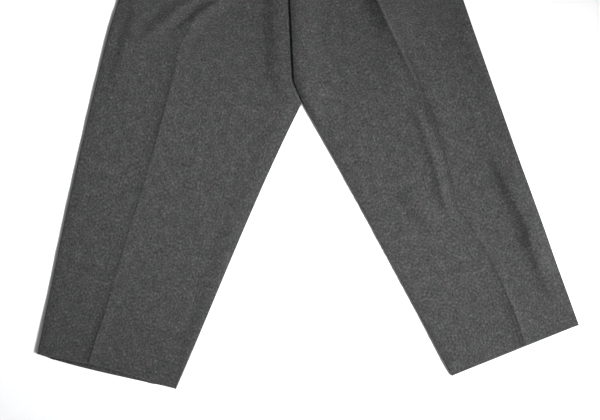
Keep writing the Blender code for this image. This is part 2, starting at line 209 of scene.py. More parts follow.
def new_object(name, points, *faces):
    """A mesh object from arrays: points in millimetres, and faces as one or more arrays with a row of
    vertex numbers for each face."""
    corners = np.concatenate([group.ravel() for group in faces]).astype(np.int32)
    sizes = np.concatenate([np.full(len(group), group.shape[1]) for group in faces])
    mesh = bpy.data.meshes.new(name)
    mesh.vertices.add(len(points))
    mesh.vertices.foreach_set("co", (points * MM).astype(np.float32).ravel())
    mesh.loops.add(len(corners))
    mesh.loops.foreach_set("vertex_index", corners)
    mesh.polygons.add(len(sizes))
    mesh.polygons.foreach_set("loop_start", (np.cumsum(sizes) - sizes).astype(np.int32))
    mesh.update(calc_edges=True)
    mesh.validate()
    mesh.shade_smooth()
    obj = bpy.data.objects.new(name, mesh)
    bpy.context.scene.collection.objects.link(obj)
    return obj


def lay_uv(obj, flat):
    """Gives a mesh the UV map "cloth": each vertex's place on the flat cloth, in metres."""
    loops = np.empty(len(obj.data.loops), np.int32)
    obj.data.loops.foreach_get("vertex_index", loops)
    layer = obj.data.uv_layers.new(name="cloth")
    layer.uv.foreach_set("vector", (flat[loops] * MM).astype(np.float32).ravel())


def cloth(name, middle, wall, flat):
    """A piece of cloth as a closed shell. Its faces lie half a wall to either side of the grid middle,
    along the grid's normals. Its edge is drawn in by half a wall and closed with a half-round rim: at
    angle a a rim point is edge + (cos a outward + sin a normal) wall / 2. flat holds each grid point's
    place on the flat cloth."""
    rows, columns = middle.shape[:2]
    index = np.arange(rows * columns).reshape(rows, columns)
    rim = np.concatenate([index[0, :-1], index[:-1, -1], index[-1, :0:-1], index[:0:-1, 0]])
    along, across = np.gradient(middle, axis=(0, 1))
    normal = np.cross(across, along).reshape(-1, 3)
    normal /= np.linalg.norm(normal, axis=1, keepdims=True)
    middle = middle.reshape(-1, 3).copy()
    half = np.broadcast_to(wall, (rows, columns)).reshape(-1, 1) / 2
    run = np.roll(middle[rim], -1, axis=0) - np.roll(middle[rim], 1, axis=0)
    outward = np.cross(run, normal[rim])
    outward /= np.linalg.norm(outward, axis=1, keepdims=True)
    middle[rim] -= outward * half[rim]

    high, low = middle + normal * half, middle - normal * half
    angles = np.linspace(-np.pi / 2, np.pi / 2, RIM_STEPS + 1)[1:-1]
    rings = [middle[rim] + (np.cos(a) * outward + np.sin(a) * normal[rim]) * half[rim] for a in angles]
    points = np.concatenate([low, high, *rings])
    ring_start = 2 * index.size
    levels = [rim] + [ring_start + k * len(rim) + np.arange(len(rim)) for k in range(len(angles))]
    levels.append(rim + index.size)
    quads = np.stack([index[:-1, :-1], index[:-1, 1:], index[1:, 1:], index[1:, :-1]], axis=-1)
    quads = quads.reshape(-1, 4)
    sides = [
        np.stack([lower, np.roll(lower, -1), np.roll(upper, -1), upper], axis=-1)
        for lower, upper in zip(levels[:-1], levels[1:])
    ]
    obj = new_object(name, points, np.concatenate([quads + index.size, quads[:, ::-1], *sides]))
    flat = flat.reshape(-1, 2)
    lay_uv(obj, np.concatenate([flat, flat] + [flat[rim]] * len(angles)))
    return obj


def add_node(tree, kind, settings=None, links=None, **inputs):
    """Adds a shader node with its settings, its inputs' values and the links into them."""
    node = tree.nodes.new(kind)
    for key, value in (settings or {}).items():
        setattr(node, key, value)
    for key, value in inputs.items():
        node.inputs[key.replace("_", " ")].default_value = value
    for key, socket in (links or {}).items():
        tree.links.new(socket, node.inputs[key])
    return node


def linear(hex_colour):
    """An sRGB hex colour as a linear RGBA."""
    srgb = np.array([int(hex_colour[i : i + 2], 16) for i in (1, 3, 5)]) / 255
    rgb = np.where(srgb <= 0.04045, srgb / 12.92, ((srgb + 0.055) / 1.055) ** 2.4)
    return (*rgb.tolist(), 1.0)


def colour_ramp(tree, factor, *stops):
    """The colour of a ramp read at a factor. Its stops are pairs of a position and an sRGB hex colour."""
    ramp = add_node(tree, "ShaderNodeValToRGB", links={"Fac": factor})
    elements = ramp.color_ramp.elements
    for element, (position, colour) in zip(elements, (stops[0], stops[-1])):
        element.position = position
        element.color = linear(colour)
    for position, colour in stops[1:-1]:
        elements.new(position).color = linear(colour)
    return ramp.outputs["Color"]


def base_ramp(tree, shader, factor, *stops):
    """Colours a shader by a ramp read at a factor."""
    tree.links.new(colour_ramp(tree, factor, *stops), shader.inputs["Base Color"])


def noise(tree, place, size, **inputs):
    """Noise with features of a size in millimetres."""
    node = add_node(tree, "ShaderNodeTexNoise", links={"Vector": place}, Scale=1 / (size * MM), **inputs)
    return node.outputs["Fac"]


def bump_normal(tree, shader, height, strength, depth):
    """Bumps a shader's normal by a height, over a depth in millimetres."""
    bump = add_node(
        tree, "ShaderNodeBump", links={"Height": height}, Strength=strength, Distance=depth * MM
    )
    tree.links.new(bump.outputs["Normal"], shader.inputs["Normal"])


def new_material(name):
    """A material with its node tree and its Principled shader."""
    material = bpy.data.materials.new(name)
    material.use_nodes = True
    return material, material.node_tree, material.node_tree.nodes["Principled BSDF"]


def wool_flannel():
    """Wool flannel: yarn spun from black, grey and white fibre, woven, then milled and brushed until the
    nap hides the weave. It is matt, with a soft bloom at low angles and a fine salt and pepper grain."""
    material, tree, shader = new_material("brushed_wool_flannel_grey_melange")
    uv = add_node(tree, "ShaderNodeUVMap", {"uv_map": "cloth"})
    grain = add_node(tree, "ShaderNodeMapping", links={"Vector": uv.outputs["UV"]}, Scale=(1.0, 0.8, 1.0))
    fibre = noise(tree, grain.outputs["Vector"], 2.9, Detail=3.0, Roughness=0.62)
    clump = noise(tree, grain.outputs["Vector"], 13.0, Detail=3.0, Roughness=0.6)
    blend = add_node(
        tree, "ShaderNodeMix", {"data_type": "FLOAT"},
        {"A": fibre, "B": clump}, Factor=0.25,
    )
    shade = colour_ramp(tree, blend.outputs["Result"], (0.30, "#1b1b1b"), (0.5, "#363636"), (0.70, "#555555"))
    tone = noise(tree, uv.outputs["UV"], 22.0, Detail=2.0, Roughness=0.5)
    cast = colour_ramp(tree, tone, (0.35, "#fffafb"), (0.65, "#fafdff"))
    tinted = add_node(tree, "ShaderNodeMix", {"data_type": "RGBA", "blend_type": "MULTIPLY"}, Factor=1.0)
    tree.links.new(shade, tinted.inputs[6])
    tree.links.new(cast, tinted.inputs[7])
    tree.links.new(tinted.outputs[2], shader.inputs["Base Color"])
    nap = noise(tree, grain.outputs["Vector"], 1.3, Detail=3.0, Roughness=0.7)
    bump_normal(tree, shader, nap, 0.55, 0.5)
    shader.inputs["Roughness"].default_value = 0.95
    shader.inputs["Specular IOR Level"].default_value = 0.2
    shader.inputs["Sheen Weight"].default_value = 0.18
    shader.inputs["Sheen Roughness"].default_value = 0.5
    return material


FLANNEL = wool_flannel()


def back_panel(side):
    """A back: the outline filled with straight rows, at half a wall over the surface. The turned-up hem
    thickens it upwards, and where it stands out past the front's hem its edge rises in a lip."""
    leg = LEGS[side]
    rows = np.union1d(even_rows(leg, BACK_ROWS), even_rows(leg, LIP_ROWS, top=LIP_REACH))
    inner, outer = inner_edge(leg, rows), outer_edge(leg, rows)
    inner[:, 0] += leg["outward"] * SEAM_GAP / 2
    share = np.linspace(0.0, 1.0, BACK_COLUMNS)
    plan = inner[:, None] + (outer - inner)[:, None] * share[None, :, None]
    hem_y = plan[:1, :, 1].copy()
    above_hem = plan[..., 1] - hem_y
    belly = share**2 * (1 - share) / (4 / 27) * leg["back_hem_belly"]
    plan[..., 1] -= belly * hem_share(above_hem, HEM_DEPTH)
    wall = WALL + HEM_LAYER * hem_share(above_hem, HEM_FADE)
    past_front = np.sin(np.pi * share) * leg["hem_arch"] - (plan[..., 1] - hem_y)
    lip = leg["hem_lip"] * smooth_step(past_front, *LIP_FOOT)
    middle = np.concatenate([plan, (wall / 2 + lip)[..., None]], axis=-1)
    panel = cloth(f"back_{side}_cloth", middle, wall, plan)
    panel.data.materials.append(FLANNEL)
    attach(panel, "root")
    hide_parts(f"back_{side}")


for side in LEGS:
    back_panel(side)

# Fronts: the same flannel, on the backs. Each has one forward pleat, whose fold opens lower down into the
# crease pressed from knee to hem. The right one ends in the fly's folded flap, and laps over the left one.
FRONT_ROWS = 262
EDGE_REACH = 12.0  # distance over which a front rises from its seams
LOFT = 1.3
CLEAR_OF_EDGE = 60.0  # a lapped edge stands as high as cloth this far from a seam
SEWN_REACH = 25.0  # distance over which the waist seam presses the cloth down
SEWN_PRESS = 0.85
NEAR_INNER = np.concatenate([np.linspace(0.0, 9.0, 13), [10.2, 12.0]])  # fine columns at the inner edge
INNER_COLUMNS = 44
OUTER_COLUMNS = 48
PLEAT_DEPTH = 24.0
PLEAT_BEND = 0.9  # radius of the cloth's middle at each fold
PLEAT_BEND_SEWN = 0.68  # and in the waist seam
PLEAT_CLEAR = 4.0
PLEAT_REST = 50.0
PLEAT_PRESSED = 0.15
OPEN_FOLD = 0.8
BEND_STEPS = 6
OVERLAP_STEPS = 4
PLEATS = {
    "right": {"shut_above": 295.0, "open_below": 256.0},
    "left": {"shut_above": 270.0, "open_below": 212.0},
}
# Crease, from waist to hem: how high it stands, and how far it reaches towards the wearer's right
CREASE_GENTLE = 17.0
Crease = namedtuple("Crease", "y height reach")
CREASES = {
    "right": (
        Crease(235, 0.5, 7), Crease(170, 1.9, 7), Crease(100, 2.6, 7), Crease(30, 2.6, 7),
        Crease(-60, 1.9, 5), Crease(-160, 1.6, 4.5), Crease(-240, 1.8, 5), Crease(-330, 2.8, 7),
    ),
    "left": (
        Crease(100, 0.2, 5), Crease(60, 0.6, 6), Crease(0, 1.2, 7),
        Crease(-50, 1.4, 6), Crease(-100, 0.8, 4), Crease(-140, 1.2, 3), Crease(-200, 1.6, 3),
        Crease(-260, 2.0, 3.5), Crease(-300, 3.6, 7), Crease(-335, 4.0, 8),
    ),
}
# Seam allowances pressed open inside: width, and how much the edge of each shows through
ALLOWANCE_WIDTH = 17.0
ALLOWANCE_EDGE = 2.0  # half of its fade
ALLOWANCE_FOOT = 4.0  # its rise beside the seam
ALLOWANCES = {
    "right": {"inseam": 0.32, "side": 0.3},
    "left": {"inseam": 0.12, "side": 0.15},
}
HEM_SOFT_FADE = 60.0
HEM_SHOWN = 0.45  # share of the hem's step that shows as an edge
# Fly: the flap's reach past the centre line, its lift over the zip and the left front's shoulder beside it
FLAP_REACH = {"right": -2.2, "left": 4.0}
FLY_END_Y = 62.0
FLY_FADE = 9.0
FLAP_LIFT = 3.1
FLAP_WIDTH = 15.0
FLAP_FALL = 30.0
FLAP_CURL = 1.7
FLAP_CURL_REACH = 4.5
UNDERLAP_LIFT = 1.0
FLY_RAMP = {
    "right": (CROTCH[1] - 10.0, CROTCH[1] + 18.0),
    "left": (CROTCH[1] - 30.0, CROTCH[1] + 12.0),
}
UNDERLAP_SHELF = 5.4
SHOULDER_LIFT = 5.2
SHOULDER_FLANK = 2.2
SHOULDER_SLOPE = 9.0
SHOULDER_SHARP = (0.85, 0.65)  # share of the shoulder's rise that is steep, at the rise seam and the fly
SEAM_FLANK = 2.8
SHOULDER_FALL = (16.0, 60.0)
SLIDER_LIFT = 0.4
SLIDER_ROOM_Y = (285.0, 305.0)

# Soft folds, from waist to hem: a crest's height is positive and a trough's negative. Each reaches
# its own distance towards -X and +X, and fades out over a share of its length at both ends, where it also
# narrows to FOLD_TIP of its reach.
FOLD_TIP = 0.55
Fold = namedtuple("Fold", "leg height reach_minus reach_plus fade line")
FOLDS = {
    "flap_crest": Fold(
        "right", 4.2, 21, 24, 0.2,
        ((-18, 350), (-19, 260), (-20, 215), (-23, 157), (-28, 100), (-31, 72)),
    ),
    "inseam_ridge": Fold(
        "right", 1.7, 10, 26, 0.15,
        ((-14, 70), (-62, -31), (-126, -164), (-191, -329), (-215, -392)),
    ),
    "upper_pull": Fold(
        "right", 4.0, 9, 12, 0.3,
        ((-85, 262), (-123, 220), (-156, 198), (-183, 180), (-200, 168)),
    ),
    "lower_pull": Fold(
        "right", 3.4, 9, 11, 0.35,
        ((-135, 248), (-161, 229), (-179, 217), (-204, 199), (-234, 176), (-258, 158)),
    ),
    "side_crest": Fold(
        "right", 2.6, 10, 22, 0.25,
        ((-246, 260), (-250, 215), (-260, 176), (-274, 148), (-284, 116), (-288, 80)),
    ),
    "knee_tail": Fold(
        "right", 1.1, 5, 9, 0.4,
        ((-216, -92), (-225, -114), (-243, -155)),
    ),
    "pleat_wedge": Fold(
        "left", 10.0, 16, 40, 0.3,
        ((112, 340), (125, 280), (137, 214), (153, 173), (168, 140), (176, 122)),
    ),
    "pleat_edge": Fold(
        "left", 2.3, 3, 3, 0.2,
        ((125, 280), (137, 214), (153, 173), (169, 137), (187, 92), (199, 57), (214, 22)),
    ),
    "outer_rise": Fold(
        "left", 2.4, 9, 24, 0.35,
        ((152, 200), (185, 130), (200, 92), (212, 57), (226, 22), (238, -20), (246, -60)),
    ),
    "rise_roll": Fold(
        "left", 2.4, 5, 14, 0.25,
        ((5, 98), (11, 84), (17, 70), (26, 50), (38, 26)),
    ),
    "thigh_crest": Fold(
        "left", 2.2, 18, 30, 0.4,
        ((128, 160), (160, 105), (178, 45)),
    ),
    "knee_ridge": Fold(
        "left", 3.2, 7, 8, 0.22,
        ((180, 60), (190, 33), (204, -9), (217, -55), (226, -97), (235, -134), (241, -158)),
    ),
    "knee_wrinkle": Fold(
        "left", 4.6, 8, 20, 0.35,
        ((150, -90), (163, -102), (178, -118), (192, -134), (206, -150), (219, -164), (230, -178)),
    ),
    "shin_crest": Fold(
        "left", 8.8, 14, 28, 0.35,
        ((303, -30), (325, -76), (338, -103), (353, -136), (362, -162), (368, -194), (373, -225),
         (381, -255)),
    ),
    "side_tail": Fold(
        "left", 3.4, 12, 16, 0.4,
        ((368, -190), (388, -250), (402, -296)),
    ),
    "side_ridge": Fold(
        "left", 1.8, 14, 16, 0.35,
        ((270, 235), (276, 192), (278, 150), (291, 102), (308, 65), (322, 20)),
    ),
}
# Long low rolls in the cloth: direction across, wavelength, height and phase
Roll = namedtuple("Roll", "degrees length height phase")
ROLLS = (
    Roll(20, 190, 0.30, 0.4), Roll(75, 230, 0.26, 2.1), Roll(-35, 120, 0.15, 4.0),
    Roll(110, 95, 0.10, 1.2), Roll(5, 70, 0.07, 5.3), Roll(50, 58, 0.06, 3.3),
)


def off_line(points, line):
    """Each point's distance from a line of points, positive on its +X side, and its share of the way
    along the line."""
    line = np.asarray(line, float)
    runs = np.diff(line, axis=0)
    lengths = np.hypot(*runs.T)
    starts = np.concatenate([[0.0], np.cumsum(lengths)])
    offset = points[..., None, :] - line[:-1]
    share = np.clip((offset * runs).sum(-1) / lengths**2, 0.0, 1.0)
    distance = np.linalg.norm(offset - share[..., None] * runs, axis=-1)
    side = np.sign(runs[:, 0] * offset[..., 1] - runs[:, 1] * offset[..., 0])
    nearest = distance.argmin(-1)[..., None]
    along = np.take_along_axis(starts[:-1] + share * lengths, nearest, -1)[..., 0]
    return np.take_along_axis(distance * side, nearest, -1)[..., 0], along / starts[-1]


def soft_folds(side, points):
    """The sum of a leg's folds. Across, each is height e^-(d / reach)^2; along, it fades at both ends."""
    height = np.zeros(points.shape[:-1])
    for fold in FOLDS.values():
        if fold.leg == side:
            distance, along = off_line(points, fold.line)
            reach = np.where(distance < 0, fold.reach_minus, fold.reach_plus)
            ends = smooth_step(along, 0.0, fold.fade) * (1 - smooth_step(along, 1 - fold.fade, 1.0))
            reach = reach * (FOLD_TIP + (1 - FOLD_TIP) * ends)
            height += fold.height * ends * np.exp(-((distance / reach) ** 2))
    return height


def rolls(points):
    """Long low waves, each height sin(2 pi distance / length + phase), summed."""
    height = np.zeros(points.shape[:-1])
    for roll in ROLLS:
        across = points @ np.array([np.cos(np.radians(roll.degrees)), np.sin(np.radians(roll.degrees))])
        height += roll.height * np.sin(2 * np.pi * across / roll.length + roll.phase)
    return height


def pleat_section(turn, overlap, radius):
    """The cloth's middle line across a pleat: a bend by the angle turn, a straight run of overlap and a
    bend back, for each row. Each bend keeps its length of cloth, so the pleat opens flat as turn goes to
    0. Gives the place across from the visible fold, the height and the length of cloth so far."""
    share = np.linspace(0.0, 1.0, BEND_STEPS + 1)
    bend, straight = turn[:, None] * share, np.repeat(turn[:, None], OVERLAP_STEPS - 1, axis=1)
    tilt = np.concatenate([bend, straight, bend[:, ::-1]], axis=1)
    lengths = np.repeat(np.pi * radius[:, None] / BEND_STEPS, tilt.shape[1] - 1, axis=1)
    lengths[:, BEND_STEPS : BEND_STEPS + OVERLAP_STEPS] = overlap[:, None] / OVERLAP_STEPS
    middle = (tilt[:, 1:] + tilt[:, :-1]) / 2
    start = np.zeros((len(turn), 1))
    across, height, cloth_length = (
        np.concatenate([start, np.cumsum(steps, axis=1)], axis=1)
        for steps in (lengths * np.cos(middle), lengths * np.sin(middle), lengths)
    )
    fold = across[:, BEND_STEPS + 1 :].min(axis=1, keepdims=True)
    return across - fold, height * (1 - PLEAT_PRESSED * np.sin(turn)[:, None]), cloth_length


def fly_lift(side, y, from_inner):
    """How far a front stands up beside the fly. The right one's flap is level over the zip. The left
    one's shelf slips under it and its shoulder stands beside it. Below the fly both round down into the
    rise seam."""
    lap = smooth_step(y, FLY_END_Y, FLY_END_Y + FLY_FADE)
    if side == "right":
        edge = lap + (1 - lap) * smooth_step(from_inner, 0.0, SEAM_FLANK)
        lift = FLAP_LIFT * edge + SLIDER_LIFT * smooth_step(y, *SLIDER_ROOM_Y)
        lift *= 1 - smooth_step(from_inner, FLAP_WIDTH, FLAP_WIDTH + FLAP_FALL)
        lift += FLAP_CURL * lap * np.exp(-np.maximum(from_inner, 0.0) / FLAP_CURL_REACH)
    else:
        foot = UNDERLAP_SHELF * lap
        steep = smooth_step(from_inner, foot, foot + SHOULDER_FLANK * lap + SEAM_FLANK * (1 - lap))
        sharp = SHOULDER_SHARP[0] + (SHOULDER_SHARP[1] - SHOULDER_SHARP[0]) * lap
        flank = sharp * steep + (1 - sharp) * smooth_step(from_inner, foot + 1.0, foot + SHOULDER_SLOPE)
        lift = UNDERLAP_LIFT * lap + (SHOULDER_LIFT - UNDERLAP_LIFT * lap) * flank
        lift *= 1 - smooth_step(from_inner, *SHOULDER_FALL)
    return lift * smooth_step(y, *FLY_RAMP[side])


def front_panel(side):
    """A front: rows of cloth from the inner edge to the under fold of the pleat, round the pleat and on to
    the side seam, each laid at the height of what is below it. Gives the grid of the cloth's middle."""
    leg, pleat = LEGS[side], PLEATS[side]
    rows = even_rows(leg, FRONT_ROWS)
    inner, outer = inner_edge(leg, rows), outer_edge(leg, rows)
    on_rise = rows > STATION.index("crotch")
    lap = smooth_step(inner[:, 1], FLY_END_Y, FLY_END_Y + FLY_FADE) * on_rise
    inner[:, 0] += leg["outward"] * (SEAM_GAP / 2 - lap * (FLAP_REACH[side] + SEAM_GAP / 2))
    across = outer - inner
    width = np.hypot(*across.T)
    along = across / width[:, None]
    crease = width * crease_share(leg, rows)

    crease_y = inner[:, 1] + along[:, 1] * crease
    turn = np.pi * smooth_step(crease_y, pleat["open_below"], pleat["shut_above"])
    shut = np.clip((crease_y - pleat["shut_above"]) / (WAIST_Y - pleat["shut_above"]), 0.0, 1.0)
    sewn = smooth_step(inner[:, 1], WAIST_Y - SEWN_REACH, WAIST_Y)
    radius = PLEAT_BEND + (PLEAT_BEND_SEWN - PLEAT_BEND) * sewn
    overlap = OPEN_FOLD + (PLEAT_DEPTH - OPEN_FOLD) * shut
    fold_across, fold_height, fold_length = pleat_section(turn, overlap, radius)

    under_fold = (crease + fold_across[:, 0])[:, None]
    shares = np.linspace(0.0, 1.0, INNER_COLUMNS + 1)[None, 1:-1]
    near = np.repeat(NEAR_INNER[None, :], len(rows), axis=0)
    inner_zone = np.concatenate([near, NEAR_INNER[-1] + shares * (under_fold - NEAR_INNER[-1])], axis=1)
    outer_start = (crease + fold_across[:, -1])[:, None]
    shares = np.linspace(0.0, 1.0, OUTER_COLUMNS + 1)[None, 1:]
    outer_zone = outer_start + shares * (width[:, None] - outer_start)
    distance = np.concatenate([inner_zone, crease[:, None] + fold_across, outer_zone], axis=1)
    flat_across = np.concatenate(
        [inner_zone - under_fold, fold_length, fold_length[:, -1:] + outer_zone - outer_start], axis=1
    )

    past_fold = outer_zone - crease[:, None]
    under = (overlap + PLEAT_CLEAR)[:, None]
    resting_layer = fold_height[:, -1:] * (1 - smooth_step(past_fold, under, under + PLEAT_REST))
    lift = np.concatenate([np.zeros_like(inner_zone), fold_height, resting_layer], axis=1)

    plan = inner[:, None] + along[:, None] * distance[..., None]
    above_hem = plan[..., 1] - plan[:1, :, 1]
    arch = np.sin(np.pi * np.clip(distance / width[:, None], 0.0, 1.0)) * leg["hem_arch"]
    plan[..., 1] += arch * hem_share(above_hem, HEM_DEPTH)

    from_outer = width[:, None] - distance
    y = plan[..., 1]
    allowance = ALLOWANCES[side]
    pressed_down = 1 - SEWN_PRESS * smooth_step(y, WAIST_Y - SEWN_REACH, WAIST_Y)
    to_seam = np.maximum(np.minimum(distance, from_outer), 0.0)
    lapped = smooth_step(y, FLY_END_Y, FLY_END_Y + FLY_FADE) * on_rise[:, None]
    from_edge = np.maximum(np.minimum(distance + lapped * CLEAR_OF_EDGE, from_outer), 0.0)
    clear_of_seams = 1 - np.exp(-from_edge / EDGE_REACH)
    height = (LOFT + rolls(plan)) * clear_of_seams + soft_folds(side, plan)
    off_crease = (distance - crease[:, None]) * leg["outward"]
    crease_y_table, crease_heights, reaches = np.array(CREASES[side])[::-1].T
    reach = np.where(off_crease < 0, np.interp(y, crease_y_table, reaches), CREASE_GENTLE)
    standing = np.interp(y, crease_y_table, crease_heights) * (1 - turn / np.pi)[:, None]
    height += standing * np.exp(-np.abs(off_crease) / reach)
    edge = (ALLOWANCE_WIDTH - ALLOWANCE_EDGE, ALLOWANCE_WIDTH + ALLOWANCE_EDGE)
    shown = (1 - smooth_step(distance, *edge)) * allowance["inseam"] * (~on_rise)[:, None]
    shown += (1 - smooth_step(from_outer, *edge)) * allowance["side"]
    height += shown * smooth_step(to_seam, 0, ALLOWANCE_FOOT)
    height = np.maximum(height * pressed_down, 0.0) + WALL + SEAM_GAP
    soft_hem, hard_hem = hem_share(above_hem, HEM_SOFT_FADE), hem_share(above_hem, HEM_FADE)
    height += HEM_LAYER * soft_hem
    height += fly_lift(side, y, distance)
    wall = WALL + HEM_LAYER * (HEM_SHOWN * hard_hem + (1 - HEM_SHOWN) * soft_hem)
    middle = np.concatenate([plan, (height + wall / 2 + lift)[..., None]], axis=-1)
    flat = np.stack([flat_across * leg["outward"], np.broadcast_to(inner[:, 1:], y.shape)], axis=-1)
    panel = cloth(f"front_{side}_cloth", middle, wall, flat)
    panel.data.materials.append(FLANNEL)
    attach(panel, "root")
    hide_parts(f"front_{side}")
    return middle


fronts = {side: front_panel(side) for side in LEGS}

# Zip: two tapes woven of polyester, sewn behind the fly, with a chain of moulded nylon teeth. The teeth of
# one tape stand between those of the other, and the zip is shut as far as its slider.
TAPE_GAP = 0.5
TAPE_WALL = 0.7
TAPE_ROWS = 125
TAPE_COLUMNS = 9
TOOTH_PITCH = 2.4  # of one side
TOOTH_WIDTH = 1.1
TOOTH_REACH = 3.6  # from the chain's outer side, past its middle
CHAIN_WIDTH = 5.0
CHAIN_LOW_Z = 1.35
CHAIN_TOP_Z = 3.0
CHAIN_Y = (105.0, 318.0)
zip_low, zip_high = (np.array(corner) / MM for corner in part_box("zip"))
CHAIN_X = (zip_low[0] + zip_high[0]) / 2


def closed_skin(rings, sides):
    """The faces of a closed form of rings between two poles: quads, then the triangles at both poles. The
    poles are vertices 0 and 1, and a ring's vertices run counterclockwise seen from pole 1."""
    index = 2 + np.arange(rings * sides).reshape(rings, sides)
    around = np.roll(index, -1, axis=1)
    quads = np.stack([index[:-1], around[:-1], around[1:], index[1:]], axis=-1).reshape(-1, 4)
    low = np.stack([np.zeros(sides, int), around[0], index[0]], axis=-1)
    high = np.stack([np.ones(sides, int), index[-1], around[-1]], axis=-1)
    return quads, np.concatenate([low, high])


def signed_power(value, power):
    return np.sign(value) * np.abs(value) ** power


def pegs(name, centre, along, across, up, power=0.6, rings=5, sides=8):
    """Small rounded pegs, one for each row of centre, in one mesh. Each is an ellipsoid squared off by the
    power: at a along it and b round it, centre + along s(sin a) + (across s(cos b) + up s(sin b)) s(cos a),
    where s(v) is |v|^power with v's sign. across, up and along are half axes, right-handed."""
    count = len(centre)
    along, across, up = (np.broadcast_to(axis, (count, 3))[:, None, None] for axis in (along, across, up))
    a = np.linspace(-np.pi / 2, np.pi / 2, rings + 2)[None, 1:-1, None, None]
    b = (np.arange(sides) * 2 * np.pi / sides)[None, None, :, None]
    section = across * signed_power(np.cos(b), power) + up * signed_power(np.sin(b), power)
    skin = along * signed_power(np.sin(a), power) + section * np.cos(a) ** power
    poles = np.stack([-along[:, 0, 0], along[:, 0, 0]], axis=1)
    points = centre[:, None] + np.concatenate([poles, skin.reshape(count, -1, 3)], axis=1)
    first = (np.arange(count) * points.shape[1])[:, None, None]
    faces = [(group + first).reshape(-1, group.shape[1]) for group in closed_skin(rings, sides)]
    return new_object(name, points.reshape(-1, 3), *faces)


def polyester_tape():
    """Polyester tape, woven in a fine herringbone: flat and even, darker than the flannel, with its ribs
    painted a little lighter as a painted sheen. The ribs are drawn 1.7 mm apart."""
    material, tree, shader = new_material("woven_polyester_tape")
    uv = add_node(tree, "ShaderNodeUVMap", {"uv_map": "cloth"})
    rib = add_node(
        tree, "ShaderNodeTexWave", {"wave_type": "BANDS", "bands_direction": "DIAGONAL"},
        {"Vector": uv.outputs["UV"]}, Scale=1 / (1.2 * MM * np.pi), Distortion=0.4,
    )
    # painted sheen: the ribs are painted lighter than the hollows between them
    base_ramp(tree, shader, rib.outputs["Fac"], (0.0, "#333335"), (1.0, "#434346"))
    bump_normal(tree, shader, rib.outputs["Fac"], 0.5, 0.15)
    shader.inputs["Roughness"].default_value = 0.75
    return material


def moulded_nylon():
    """Moulded nylon: smooth and a little glossy, dyed to go with the tape, a touch uneven in colour."""
    material, tree, shader = new_material("moulded_nylon_charcoal")
    place = add_node(tree, "ShaderNodeTexCoord")
    tone = noise(tree, place.outputs["Object"], 4.0)
    base_ramp(tree, shader, tone, (0.0, "#2c2c2e"), (1.0, "#3c3c3f"))
    shader.inputs["Roughness"].default_value = 0.38
    return material


TAPE_POLYESTER = polyester_tape()


def zip_tape(side):
    """A flat strip from the middle of the chain out to the tape's edge."""
    outward = LEGS[side]["outward"]
    outer = zip_low[0] if side == "right" else zip_high[0]
    x, y = np.meshgrid(
        np.linspace(CHAIN_X + outward * TAPE_GAP / 2, outer, TAPE_COLUMNS),
        np.linspace(zip_low[1], zip_high[1], TAPE_ROWS),
    )
    middle = np.stack([x, y, np.full_like(x, zip_low[2] + TAPE_WALL / 2)], axis=-1)
    tape = cloth(f"zip_tape_{side}", middle, TAPE_WALL, middle[..., :2])
    tape.data.materials.append(TAPE_POLYESTER)
    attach(tape, "root")
    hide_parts("zip")


for side in LEGS:
    zip_tape(side)

tooth_count = int((CHAIN_Y[1] - CHAIN_Y[0]) / (TOOTH_PITCH / 2))
tooth_number = np.arange(tooth_count)
tooth_side = np.where(tooth_number % 2 == 0, -1.0, 1.0)
tooth_centre = np.stack(
    [
        CHAIN_X + tooth_side * (CHAIN_WIDTH - TOOTH_REACH) / 2,
        CHAIN_Y[0] + (tooth_number + 0.5) * TOOTH_PITCH / 2,
        np.full(tooth_count, (CHAIN_LOW_Z + CHAIN_TOP_Z) / 2),
    ],
    axis=-1,
)
teeth = pegs(
    "zip_teeth", tooth_centre, along=(TOOTH_REACH / 2, 0, 0), across=(0, TOOTH_WIDTH / 2, 0),
    up=(0, 0, (CHAIN_TOP_Z - CHAIN_LOW_Z) / 2), power=0.5,
)
teeth.data.materials.append(moulded_nylon())
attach(teeth, "root")
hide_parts("zip")

# Slider: a nickel plated die casting at the top of the chain. Its wing narrows towards the shut side, a
# bridge stands on it, and the pull tab with its long slot hangs from the bridge over the chain.
WING_THICK = 1.0
WING_NARROW = 0.72
WING_ROWS = 24
WING_SIDES = 24
WING_LENGTH = 12.0
BRIDGE_HALF = (1.0, 4.6, 0.65)
BRIDGE_AT = 5.0  # from the wing's shut end
TAB_THICK = 0.8
TAB_HALF = (2.5, 12.0)
TAB_SLOT_HALF = (0.9, 8.2)
TAB_AT_Y = 309.0
TAB_Z = 3.7
TAB_STEPS = 64
TAB_SIDES = 12
slider_low, slider_high = (np.array(corner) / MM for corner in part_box("zip_slider"))
SLIDER_X = (slider_low[0] + slider_high[0]) / 2
WING_Y = (slider_high[1] - WING_LENGTH, slider_high[1])


def nickel_plate():
    """Nickel plate on a zinc casting, tumbled: bright and slightly warm, with fine scratches and a
    roughness that wanders. The scratches are drawn 0.4 mm wide so that they show."""
    material, tree, shader = new_material("nickel_plated_zinc")
    place = add_node(tree, "ShaderNodeTexCoord")
    stretch = add_node(
        tree, "ShaderNodeMapping", links={"Vector": place.outputs["Object"]}, Scale=(1.0, 0.12, 1.0)
    )
    scratch = noise(tree, stretch.outputs["Vector"], 0.4, Detail=4.0, Roughness=0.6)
    base_ramp(tree, shader, scratch, (0.0, "#b3b0ab"), (1.0, "#cfccc7"))
    rough = add_node(
        tree, "ShaderNodeMapRange", links={"Value": scratch}, To_Min=0.22, To_Max=0.42
    )
    tree.links.new(rough.outputs["Result"], shader.inputs["Roughness"])
    bump_normal(tree, shader, scratch, 0.15, 0.05)
    shader.inputs["Metallic"].default_value = 1.0
    return material


NICKEL = nickel_plate()


